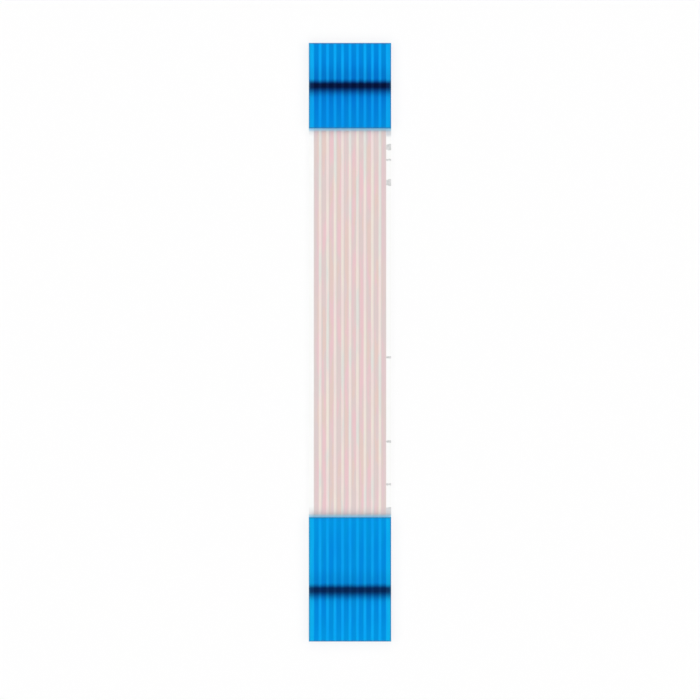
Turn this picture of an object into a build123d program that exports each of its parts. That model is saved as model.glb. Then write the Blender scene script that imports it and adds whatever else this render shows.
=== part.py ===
"""Flat flex cable. Ten flat copper conductors lie side by side between two insulating
films. Both films stop short of each end, so that the conductors are bare there, and a
stiffener tape backs the bare ends and laps onto the upper film.

Millimetres. +Y runs along the cable towards its short stiffener, +Z is the stiffener
side, and the origin lies under the middle of the cable, on the surface it rests on.
"""
from build123d import *
import os

# Conductors
CONDUCTOR_COUNT = 10
PITCH = 0.5
CONDUCTOR_WIDTH = 0.32
CONDUCTOR_THICKNESS = 0.05

# Cable
CABLE_LENGTH = 40.0
EDGE_MARGIN = 0.34  # film beyond the outer conductors' edges

# Insulating films: each is squeezed thinner over a conductor, and stands up there
FILM_OVER_CONDUCTOR = 0.045
RIDGE_HEIGHT = 0.01
RIDGE_FLANK = 0.05  # width of the slope at each side of a ridge

# Stiffener tapes
STIFFENER_THICKNESS = 0.25
SHORT_STIFFENER_LENGTH = 5.7
LONG_STIFFENER_LENGTH = 8.3
SHORT_END_BARE_LENGTH = 3.1  # from the cable's tip back to the films' cut edge
LONG_END_BARE_LENGTH = 3.65
STEP_RUN = 0.45  # length over which a tape steps off the upper film

# What follows from them
CABLE_WIDTH = (CONDUCTOR_COUNT - 1) * PITCH + CONDUCTOR_WIDTH + 2 * EDGE_MARGIN
CONDUCTOR_BOTTOM = FILM_OVER_CONDUCTOR
CONDUCTOR_MIDDLE = CONDUCTOR_BOTTOM + CONDUCTOR_THICKNESS / 2
CONDUCTOR_TOP = CONDUCTOR_BOTTOM + CONDUCTOR_THICKNESS
FILM_TOP = CONDUCTOR_TOP + FILM_OVER_CONDUCTOR
FILM_LENGTH = CABLE_LENGTH - SHORT_END_BARE_LENGTH - LONG_END_BARE_LENGTH
TIP = CABLE_LENGTH / 2


def conductor_x(index):
    """X of a conductor's middle, counted from the -X edge."""
    return (index - (CONDUCTOR_COUNT - 1) / 2) * PITCH


def conductor(index):
    """One flat wire, bare at both ends, as long as the cable."""
    wire = Box(CONDUCTOR_WIDTH, CABLE_LENGTH, CONDUCTOR_THICKNESS)
    return Pos(conductor_x(index), 0, CONDUCTOR_MIDDLE) * wire


def film_section():
    """The upper film's section in X and Z: a slab from the middle of the conductors up, with
    a ridge on it over each conductor and a groove under it for the conductor's upper half."""
    slab_top = FILM_TOP - RIDGE_HEIGHT
    at_middle = (Align.CENTER, Align.MIN)
    slab = Rectangle(CABLE_WIDTH, slab_top - CONDUCTOR_MIDDLE, align=at_middle)
    section = Pos(0, CONDUCTOR_MIDDLE) * slab
    crest, foot = CONDUCTOR_WIDTH / 2, CONDUCTOR_WIDTH / 2 + RIDGE_FLANK
    outline = [(-foot, slab_top), (foot, slab_top), (crest, FILM_TOP), (-crest, FILM_TOP)]
    ridge = Polygon(*outline, align=None)
    groove = Rectangle(CONDUCTOR_WIDTH, CONDUCTOR_THICKNESS / 2, align=at_middle)
    for index in range(CONDUCTOR_COUNT):
        section += Pos(conductor_x(index), 0) * ridge
        section -= Pos(conductor_x(index), CONDUCTOR_MIDDLE) * groove
    return section


def upper_film():
    """The film on the stiffener side, between the bare ends."""
    film_end = TIP - SHORT_END_BARE_LENGTH
    return extrude(Plane.XZ.offset(-film_end) * film_section(), amount=FILM_LENGTH)


def lower_film():
    """The film on the contact side, the upper one's mirror image."""
    return mirror(upper_film(), about=Plane.XY.offset(CONDUCTOR_MIDDLE))


def stiffener(length, bare_length):
    """A tape at the +Y end. It lies on the conductors' upper faces from the tip, steps up by
    the film's height in an S of two equal arcs, and lies on the upper film after that."""
    film_edge = TIP - bare_length
    step_foot = film_edge + STEP_RUN
    rise = FILM_TOP - CONDUCTOR_TOP
    # The S crosses over half-way, where its slope is twice that of the chord.
    crossing = Vector(film_edge + STEP_RUN / 2, CONDUCTOR_TOP + rise / 2)
    chord = Vector(STEP_RUN, -rise)
    across = Vector(chord.X**2 - chord.Y**2, 2 * chord.X * chord.Y).normalized()
    up = Vector(0, STIFFENER_THICKNESS)
    upper_crossing = crossing + Vector(-across.Y, across.X) * STIFFENER_THICKNESS

    inner, outer = Vector(TIP - length, FILM_TOP), Vector(TIP, CONDUCTOR_TOP)
    edge, foot = Vector(film_edge, FILM_TOP), Vector(step_foot, CONDUCTOR_TOP)
    under = [
        Line(inner, edge),
        TangentArc(edge, crossing, tangent=(1, 0)),
        TangentArc(foot, crossing, tangent=(-1, 0)),
        Line(foot, outer),
    ]
    over = [
        Line(inner + up, edge + up),
        TangentArc(edge + up, upper_crossing, tangent=(1, 0)),
        TangentArc(foot + up, upper_crossing, tangent=(-1, 0)),
        Line(foot + up, outer + up),
    ]
    ends = [Line(inner, inner + up), Line(outer, outer + up)]
    side = make_face(under + over + ends)
    return extrude(Plane.YZ * side, amount=CABLE_WIDTH / 2, both=True)


def short_stiffener():
    return stiffener(SHORT_STIFFENER_LENGTH, SHORT_END_BARE_LENGTH)


def long_stiffener():
    return mirror(stiffener(LONG_STIFFENER_LENGTH, LONG_END_BARE_LENGTH), about=Plane.XZ)


def cable():
    """Every piece by its name."""
    pieces = {
        "upper_film": upper_film(),
        "lower_film": lower_film(),
        "short_stiffener": short_stiffener(),
        "long_stiffener": long_stiffener(),
    }
    for index in range(CONDUCTOR_COUNT):
        pieces[f"conductor_{index + 1:02d}"] = conductor(index)
    return pieces


os.makedirs("parts", exist_ok=True)
for name, piece in cable().items():
    export_step(piece, f"parts/{name}.step")
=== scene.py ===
"""The looks of the flat flex cable: milky film over flat conductors, and blue stiffener tapes
that show the conductors as darker stripes. Metres, in the frame of the CAD model: +Y runs
towards the short stiffener and +Z is the stiffener side. Materials count in millimetres."""
import math
from functools import reduce
import bpy
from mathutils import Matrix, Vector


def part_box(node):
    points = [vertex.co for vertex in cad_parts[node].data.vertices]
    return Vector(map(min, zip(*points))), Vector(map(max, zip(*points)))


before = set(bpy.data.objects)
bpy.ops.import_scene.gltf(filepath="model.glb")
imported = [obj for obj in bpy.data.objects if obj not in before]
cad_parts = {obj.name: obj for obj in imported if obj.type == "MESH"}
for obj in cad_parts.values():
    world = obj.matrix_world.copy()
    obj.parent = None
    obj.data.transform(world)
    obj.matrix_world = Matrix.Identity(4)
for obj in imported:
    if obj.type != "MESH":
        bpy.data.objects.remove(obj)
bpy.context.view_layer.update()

MM = 0.001
FILMS = ["upper_film", "lower_film"]
CONDUCTORS = sorted(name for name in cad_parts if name.startswith("conductor"))


# ---------------------------------------------------------------- sizes, from the frame

def extent(node, axis):
    """A node's lowest and highest place along an axis, in millimetres."""
    low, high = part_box(node)
    return low["XYZ".index(axis)] / MM, high["XYZ".index(axis)] / MM


def middle(span):
    return (span[0] + span[1]) / 2


first_x, last_x = extent(CONDUCTORS[0], "X"), extent(CONDUCTORS[-1], "X")
PITCH = (middle(last_x) - middle(first_x)) / (len(CONDUCTORS) - 1)
CONDUCTOR_HALF = (first_x[1] - first_x[0]) / 2
OUTER_CONDUCTOR = middle(last_x)
CONDUCTORS_END = OUTER_CONDUCTOR + CONDUCTOR_HALF
CABLE_HALF = extent("upper_film", "X")[1]
TIP = extent(CONDUCTORS[0], "Y")[1]
FILM_ENDS = extent("upper_film", "Y")
FILM_SHOWS = extent("long_stiffener", "Y")[1], extent("short_stiffener", "Y")[0]
STEP_RUN = 0.45  # the tapes step off the film over this length, beyond the film's cut edge
# Worn nicks across the film's +X margin: place along Y and half width.
NICKS = [(13.05, 0.15), (12.2, 0.03), (10.69, 0.16), (-1.01, 0.04), (-6.64, 0.04), (-9.51, 0.04),
         (-11.23, 0.13)]


# ---------------------------------------------------------------- material toolkit

def linear(colour):
    """A colour given as 8-bit sRGB, as the shader wants it."""
    def channel(value):
        value /= 255
        return value / 12.92 if value <= 0.04045 else ((value + 0.055) / 1.055) ** 2.4
    return tuple(channel(value) for value in colour) + (1.0,)


class Number:
    """A number in a material's node tree. Its sums and products are Math nodes."""

    def __init__(self, tree, socket):
        self.tree, self.socket = tree, socket

    def math(self, operation, *others):
        node = self.tree.nodes.new("ShaderNodeMath")
        node.operation = operation
        for socket, value in zip(node.inputs, (self, *others)):
            feed(self.tree, socket, value)
        return Number(self.tree, node.outputs[0])

    def __add__(self, other):
        return self.math("ADD", other)

    def __sub__(self, other):
        return self.math("SUBTRACT", other)

    def __mul__(self, other):
        return self.math("MULTIPLY", other)

    def __abs__(self):
        return self.math("ABSOLUTE")

    def at_most(self, other):
        return self.math("MINIMUM", other)

    def at_least(self, other):
        return self.math("MAXIMUM", other)

    def rise(self, start, end):
        """0 where this is below start, 1 where it is above end, and smooth between them."""
        node = self.tree.nodes.new("ShaderNodeMapRange")
        node.interpolation_type = "SMOOTHSTEP"
        feed(self.tree, node.inputs["Value"], self)
        node.inputs["From Min"].default_value = start
        node.inputs["From Max"].default_value = end
        return Number(self.tree, node.outputs["Result"])

    def fall(self, start, end):
        """1 where this is below start, and 0 where it is above end."""
        return self.rise(start, end).math("MULTIPLY_ADD", -1.0, 1.0)


def feed(tree, socket, value):
    """Gives a socket a constant, a colour or another node's output."""
    if isinstance(value, Number):
        tree.links.new(value.socket, socket)
    elif isinstance(value, bpy.types.NodeSocket):
        tree.links.new(value, socket)
    else:
        socket.default_value = value


def coordinates(tree, kind):
    """The three parts of a texture coordinate."""
    place = tree.nodes.new("ShaderNodeTexCoord").outputs[kind]
    parts = tree.nodes.new("ShaderNodeSeparateXYZ")
    tree.links.new(place, parts.inputs[0])
    return [Number(tree, output) for output in parts.outputs]


class Finish:
    """A new material. Its numbers x and y are the place on the object in millimetres, up is 1 on
    faces that look up, and side is 1 on faces that look neither up nor down."""

    def __init__(self, name):
        self.material = bpy.data.materials.new(name)
        self.material.use_nodes = True
        self.tree = self.material.node_tree
        self.shader = self.tree.nodes["Principled BSDF"]
        self.x, self.y = (part * (1 / MM) for part in coordinates(self.tree, "Object")[:2])
        facing = coordinates(self.tree, "Normal")[2]
        self.up = facing.rise(0.3, 0.6)
        self.side = abs(facing).fall(0.3, 0.6)

    def noise(self, wave_x, wave_y, detail=2.0, shift=0.0):
        """Smooth noise from 0 to 1, with waves of about these sizes, in millimetres."""
        place = self.tree.nodes.new("ShaderNodeCombineXYZ")
        feed(self.tree, place.inputs["X"], self.x * (1 / wave_x))
        feed(self.tree, place.inputs["Y"], self.y * (1 / wave_y))
        feed(self.tree, place.inputs["Z"], shift)
        node = self.tree.nodes.new("ShaderNodeTexNoise")
        node.inputs["Scale"].default_value = 1.0
        node.inputs["Detail"].default_value = detail
        feed(self.tree, node.inputs["Vector"], place.outputs[0])
        return Number(self.tree, node.outputs["Fac"])

    def blend(self, amount, low, high, how="MIX"):
        """The low colour where amount is 0, and the high one where it is 1. A tuple of three is
        8-bit sRGB."""
        node = self.tree.nodes.new("ShaderNodeMix")
        node.data_type, node.blend_type = "RGBA", how
        feed(self.tree, node.inputs[0], amount)
        feed(self.tree, node.inputs[6], linear(low) if isinstance(low, tuple) else low)
        feed(self.tree, node.inputs[7], linear(high) if isinstance(high, tuple) else high)
        return node.outputs[2]

    def wander(self, first, second, third, wave_x, wave_y, shift):
        """A colour that drifts among three, in patches of this size, in millimetres."""
        pair = self.blend(self.noise(wave_x, wave_y, shift=shift).rise(0.4, 0.6), first, second)
        return self.blend(self.noise(wave_x, wave_y, shift=shift + 20.0).rise(0.5, 0.62), pair, third)

    def bump(self, height, depth_mm):
        """Gives the surface this relief: height runs from 0 to 1, over depth_mm."""
        node = self.tree.nodes.new("ShaderNodeBump")
        node.inputs["Distance"].default_value = depth_mm * MM
        feed(self.tree, node.inputs["Height"], height)
        self.tree.links.new(node.outputs[0], self.shader.inputs["Normal"])

    def set(self, **inputs):
        """Feeds the shader's inputs, such as Base_Color or Roughness."""
        for name, value in inputs.items():
            feed(self.tree, self.shader.inputs[name.replace("_", " ")], value)

    def across(self):
        """Distance from the nearest conductor's middle, below 0 on its -X side."""
        turn = (self.x * (1 / PITCH)).math("FRACT")
        return (turn - 0.5) * PITCH

    def over_conductor(self, softness):
        """1 over a conductor and 0 beside it, with an edge of this softness."""
        stripe = abs(self.across()).fall(CONDUCTOR_HALF - softness, CONDUCTOR_HALF + softness)
        return stripe * abs(self.x).fall(CONDUCTORS_END, OUTER_CONDUCTOR + PITCH / 2)

    def in_margin(self):
        """1 in the strips outside the outer conductors."""
        return abs(self.x).rise(CONDUCTORS_END - 0.01, CONDUCTORS_END + 0.03)

    def worn(self):
        """1 in the ragged nicks across the +X margin, which widen towards the film's edge."""
        ragged = self.noise(0.15, 0.15, detail=3.0, shift=11.0) * 0.12 - 0.06
        outwards = self.x.rise(CONDUCTORS_END, CABLE_HALF)

        def nick(place, half_width):
            from_it = abs(self.y - place) + ragged - outwards * half_width * 0.3
            return from_it.fall(half_width, half_width + 0.05)

        on_that_side = self.x.rise(0.0, 0.1)
        return reduce(Number.at_least, (nick(*one) for one in NICKS)) * on_that_side


# ---------------------------------------------------------------- materials

def film_finish():
    """Thin polyester film. The copper shows through as pale stripes that wander between rose,
    peach and grey, and the margins are almost white."""
    film = Finish("film")
    copper = film.wander((234, 200, 204), (224, 206, 204), (229, 205, 198), 0.5, 3.0, shift=3.0)
    # Painted shade: the -X side of each conductor stripe is greyer, as if the light came from +X.
    painted_shade_side = film.across().fall(-CONDUCTOR_HALF, -CONDUCTOR_HALF / 3)
    copper = film.blend(painted_shade_side * 0.6, copper, (216, 207, 204))
    outermost = abs(film.x).rise(OUTER_CONDUCTOR - CONDUCTOR_HALF, OUTER_CONDUCTOR)
    copper = film.blend(outermost * 0.6, copper, (220, 206, 206))
    gap = film.wander((239, 229, 219), (240, 223, 220), (229, 227, 221), 0.6, 4.0, shift=7.0)
    colour = film.blend(film.over_conductor(0.035), gap, copper)
    grime = film.blend(film.noise(0.2, 0.2, shift=13.0).rise(0.4, 0.6), (208, 209, 208), (224, 223, 223))
    margin = film.blend(film.worn(), (253, 253, 252), grime)
    colour = film.blend(film.in_margin(), colour, margin)

    # Painted light and shade beside each tape: the tape's blue is painted on the film as a glow, and the
    # margins and the film by the long tape are painted greyer as shadow, the margins more so towards +X.
    from_long, from_short = film.y - FILM_SHOWS[0], film.y * -1.0 + FILM_SHOWS[1]
    beside_tape = from_long.at_most(from_short)
    reach = film.noise(0.9, 2.0, shift=5.0) * 0.4 + film.y.fall(-1.0, 1.0) * 0.15 + 0.28
    # Painted shadow: the margins beside each tape are greyer, reaching a noisy distance, more so towards
    # +X.
    painted_shadow_margin = (beside_tape - reach).fall(-0.15, 0.1) * film.in_margin() * film.up
    colour = film.blend(painted_shadow_margin * (film.x.rise(-2.0, 2.0) * 0.9 + 0.1), colour, (222, 224, 226))
    # Painted shadow: the film is greyer within about 0.75 mm of the long tape.
    colour = film.blend(from_long.fall(0.2, 0.75) * film.up * 0.3, colour, (206, 200, 199))
    # Painted light: a pale cyan glow of the tape's blue on the film, right beside each tape.
    colour = film.blend(beside_tape.fall(0.02, 0.25) * film.up * 0.75, colour, (150, 235, 255))
    colour = film.blend(film.side, colour, (226, 228, 227))

    streaks = film.noise(0.05, 6.0, detail=3.0)
    grain = film.noise(0.12, 0.12, detail=4.0)
    film.bump(streaks * 0.6 + grain * 0.4, 0.001)
    film.set(Base_Color=colour, Roughness=grain * 0.1 + 0.15, Specular_IOR_Level=0.4)
    return film.material


def tape_finish(name, film_end, side, at_tip, over_film, darkest):
    """Blue polyester tape. It is glued to the bare conductors from the tip to the film's cut
    edge, and to the film after that. side is +1 for the tape at the +Y end. at_tip and over_film
    each hold three colours: over a conductor, over a gap and in the margins. darkest is the
    share of light that is left where the tape steps off the film."""
    tape = Finish(name)
    stripe = tape.over_conductor(0.055)
    margin = tape.in_margin()

    def stretch(over_wire, over_gap, in_margin):
        return tape.blend(margin, tape.blend(stripe, over_gap, over_wire), in_margin)

    step_middle = film_end + side * STEP_RUN / 2
    beyond_film = ((tape.y - step_middle) * side).rise(-0.3, 0.3)
    colour = tape.blend(beyond_film, stretch(*over_film), stretch(*at_tip))
    drift = tape.noise(0.4, 4.0, shift=2.0).rise(0.35, 0.65)
    colour = tape.blend(drift * 0.16, colour, (0, 98, 236))
    fine = tape.noise(0.06, 1.5, detail=3.0, shift=9.0).rise(0.3, 0.7)
    colour = tape.blend(fine * 0.06, colour, (0, 90, 170))
    from_tip = tape.y * -side + TIP
    from_inner_end = (tape.y - FILM_SHOWS[1 if side > 0 else 0]) * side
    pale_end = from_tip.at_most(from_inner_end).fall(0.0, 2.4)
    colour = tape.blend(pale_end * 0.2, colour, (0, 172, 242))

    # Painted shade: a dark line across the tape's top where it steps off the film, where nothing is
    # glued behind the tape. It ends more softly towards -Y, as a shadow falling that way, and green
    # fades before blue.
    lean = 0.04
    uneven = tape.noise(0.4, 3.0, shift=1.0) * 0.3 - 0.15
    above = (tape.y - (step_middle - lean)) * (stripe * -0.07 + uneven + 1.07)
    below = above * -1.0
    light = above.rise(0.16, 0.6) * 0.82 + above.rise(0.5, 1.8) * 0.18
    light = light + below.rise(0.0, 0.8) * 0.85 + below.rise(0.3, 1.3) * 0.15
    left = stripe * -0.014 + margin * 0.012 + darkest
    light = (light + (light * -1.0 + 1.0) * left).at_least(tape.up * -1.0 + 1.0)
    shade = tape.tree.nodes.new("ShaderNodeCombineColor")
    feed(tape.tree, shade.inputs["Red"], 1.0)
    feed(tape.tree, shade.inputs["Green"], light)
    feed(tape.tree, shade.inputs["Blue"], light.math("POWER", 0.8))
    colour = tape.blend(1.0, colour, shade.outputs[0], how="MULTIPLY")

    # Painted shade: the tape's outline is darker than its face, and the punched sides are plain.
    from_side = abs(tape.x) * -1.0 + CABLE_HALF
    from_edge = from_side.at_most(from_tip).at_most(from_inner_end)
    colour = tape.blend(from_edge.fall(0.0, 0.14) * 0.6, colour, (45, 110, 140))
    grain = tape.noise(0.15, 0.15, detail=4.0)
    punched = tape.blend(grain, (3, 112, 196), (20, 150, 226))
    colour = tape.blend(tape.side, colour, punched)

    brushed = tape.noise(0.04, 3.0, detail=3.0, shift=4.0)
    tape.bump(grain * 0.2 + brushed * 0.2 + stripe * 0.6, 0.003)
    tape.set(Base_Color=colour, Roughness=grain * 0.08 + 0.1, Specular_IOR_Level=0.4)
    return tape.material


def conductor_finish():
    """Tinned copper, drawn along Y and bare copper where it is cut through."""
    wire = Finish("conductor")
    drawn = wire.noise(0.03, 5.0, detail=3.0)
    stains = wire.noise(0.3, 0.8, detail=3.0, shift=6.0).rise(0.45, 0.7)
    tin = wire.blend(drawn, (214, 210, 204), (233, 231, 227))
    tin = wire.blend(stains * 0.4, tin, (196, 186, 172))
    cut = abs(wire.y).rise(TIP - 0.004, TIP - 0.001)
    wire.set(Base_Color=wire.blend(cut, tin, (205, 128, 92)))
    wire.set(Roughness=drawn * 0.2 + stains * 0.1 + 0.18, Metallic=1.0)
    wire.bump(drawn, 0.002)
    return wire.material


def dress(nodes, material):
    for name in nodes:
        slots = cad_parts[name].data.materials
        slots.clear()
        slots.append(material)


dress(FILMS, film_finish())
dress(CONDUCTORS, conductor_finish())
dress(["short_stiffener"], tape_finish(
    "short_tape", FILM_ENDS[1], 1,
    at_tip=[(2, 131, 217), (11, 171, 248), (15, 179, 247)],
    over_film=[(3, 126, 214), (9, 158, 238), (13, 170, 240)], darkest=0.04))
dress(["long_stiffener"], tape_finish(
    "long_tape", FILM_ENDS[0], -1,
    at_tip=[(2, 143, 221), (11, 175, 246), (14, 180, 240)],
    over_film=[(2, 144, 222), (10, 167, 240), (13, 180, 240)], darkest=0.08))


# ---------------------------------------------------------------- a line along the cable's middle, from one film end to the other

film_line = [(0.0, y * MM, middle(extent(CONDUCTORS[0], "Z")) * MM) for y in FILM_ENDS]


# ---------------------------------------------------------------- studio

def seen_directly(tree):
    """1 for what the camera sees, itself or in gloss and glass, and 0 for what lights things."""
    kinds = ["Is Camera Ray", "Is Glossy Ray", "Is Transmission Ray"]
    rays = tree.nodes.new("ShaderNodeLightPath").outputs
    first, second, third = (Number(tree, rays[kind]) for kind in kinds)
    return first.at_least(second).at_least(third)


def add_white(tree, shader, share):
    """Mixes a shader with this share of plain white light."""
    white = tree.nodes.new("ShaderNodeEmission")
    mix = tree.nodes.new("ShaderNodeMixShader")
    feed(tree, mix.inputs[0], share)
    tree.links.new(shader, mix.inputs[1])
    tree.links.new(white.outputs[0], mix.inputs[2])
    return mix.outputs[0]


def floor(size=1.5, gap=0.01 * MM, white_share=0.8):
    """A white ground under the cable, which keeps a faint shadow."""
    bpy.ops.mesh.primitive_plane_add(size=size, location=(0, 0, -gap))
    plane = bpy.context.object
    plane.name = "floor"
    material = bpy.data.materials.new("floor")
    material.use_nodes = True
    tree = material.node_tree
    paint = tree.nodes.new("ShaderNodeBsdfDiffuse")
    paint.inputs["Color"].default_value = (0.95, 0.95, 0.95, 1)
    surface = add_white(tree, paint.outputs[0], seen_directly(tree) * white_share)
    tree.links.new(surface, tree.nodes["Material Output"].inputs["Surface"])
    plane.data.materials.append(material)


def surroundings(light=0.02, walls_end=(0.15, 0.45)):
    """White to the camera, and dim as a light. Gloss shows white walls that end between these
    heights, from 0 at the horizon to 1 overhead, so that nothing veils the blue from above."""
    world = bpy.data.worlds.new("surroundings")
    bpy.context.scene.world = world
    world.use_nodes = True
    tree = world.node_tree
    dim = tree.nodes["Background"]
    dim.inputs["Color"].default_value = (light, light, light, 1)
    rays = tree.nodes.new("ShaderNodeLightPath").outputs
    walls = coordinates(tree, "Generated")[2].fall(*walls_end)
    share = (seen_directly(tree) * walls).at_least(Number(tree, rays["Is Camera Ray"]))
    surface = add_white(tree, dim.outputs[0], share)
    tree.links.new(surface, tree.nodes["World Output"].inputs["Surface"])


def softboxes(distance=0.25, height=0.18, width=0.34, depth=0.16, watts=0.496):
    """Four wide ones, one on each side, all turned to the cable."""
    for turn in range(4):
        angle = turn * math.pi / 2
        lamp = bpy.data.lights.new(f"softbox_{turn + 1}", "AREA")
        lamp.shape, lamp.size, lamp.size_y = "RECTANGLE", width, depth
        lamp.energy = watts
        box = bpy.data.objects.new(lamp.name, lamp)
        bpy.context.collection.objects.link(box)
        box.location = (distance * math.cos(angle), distance * math.sin(angle), height)
        box.rotation_euler = (math.atan2(distance, height), 0, angle + math.pi / 2)


def camera(view_height=46.87 * MM, lens=135.0, below_middle=0.52 * MM):
    """Straight above the cable, with +Y up in the picture."""
    data = bpy.data.cameras.new("camera")
    data.lens, data.sensor_width, data.clip_start = lens, 36.0, 0.001
    eye = bpy.data.objects.new("camera", data)
    bpy.context.collection.objects.link(eye)
    eye.location = (0, -below_middle, view_height * lens / data.sensor_width)
    bpy.context.scene.camera = eye


camera()
floor()
surroundings()
softboxes()
bpy.context.scene.view_settings.view_transform = "Standard"
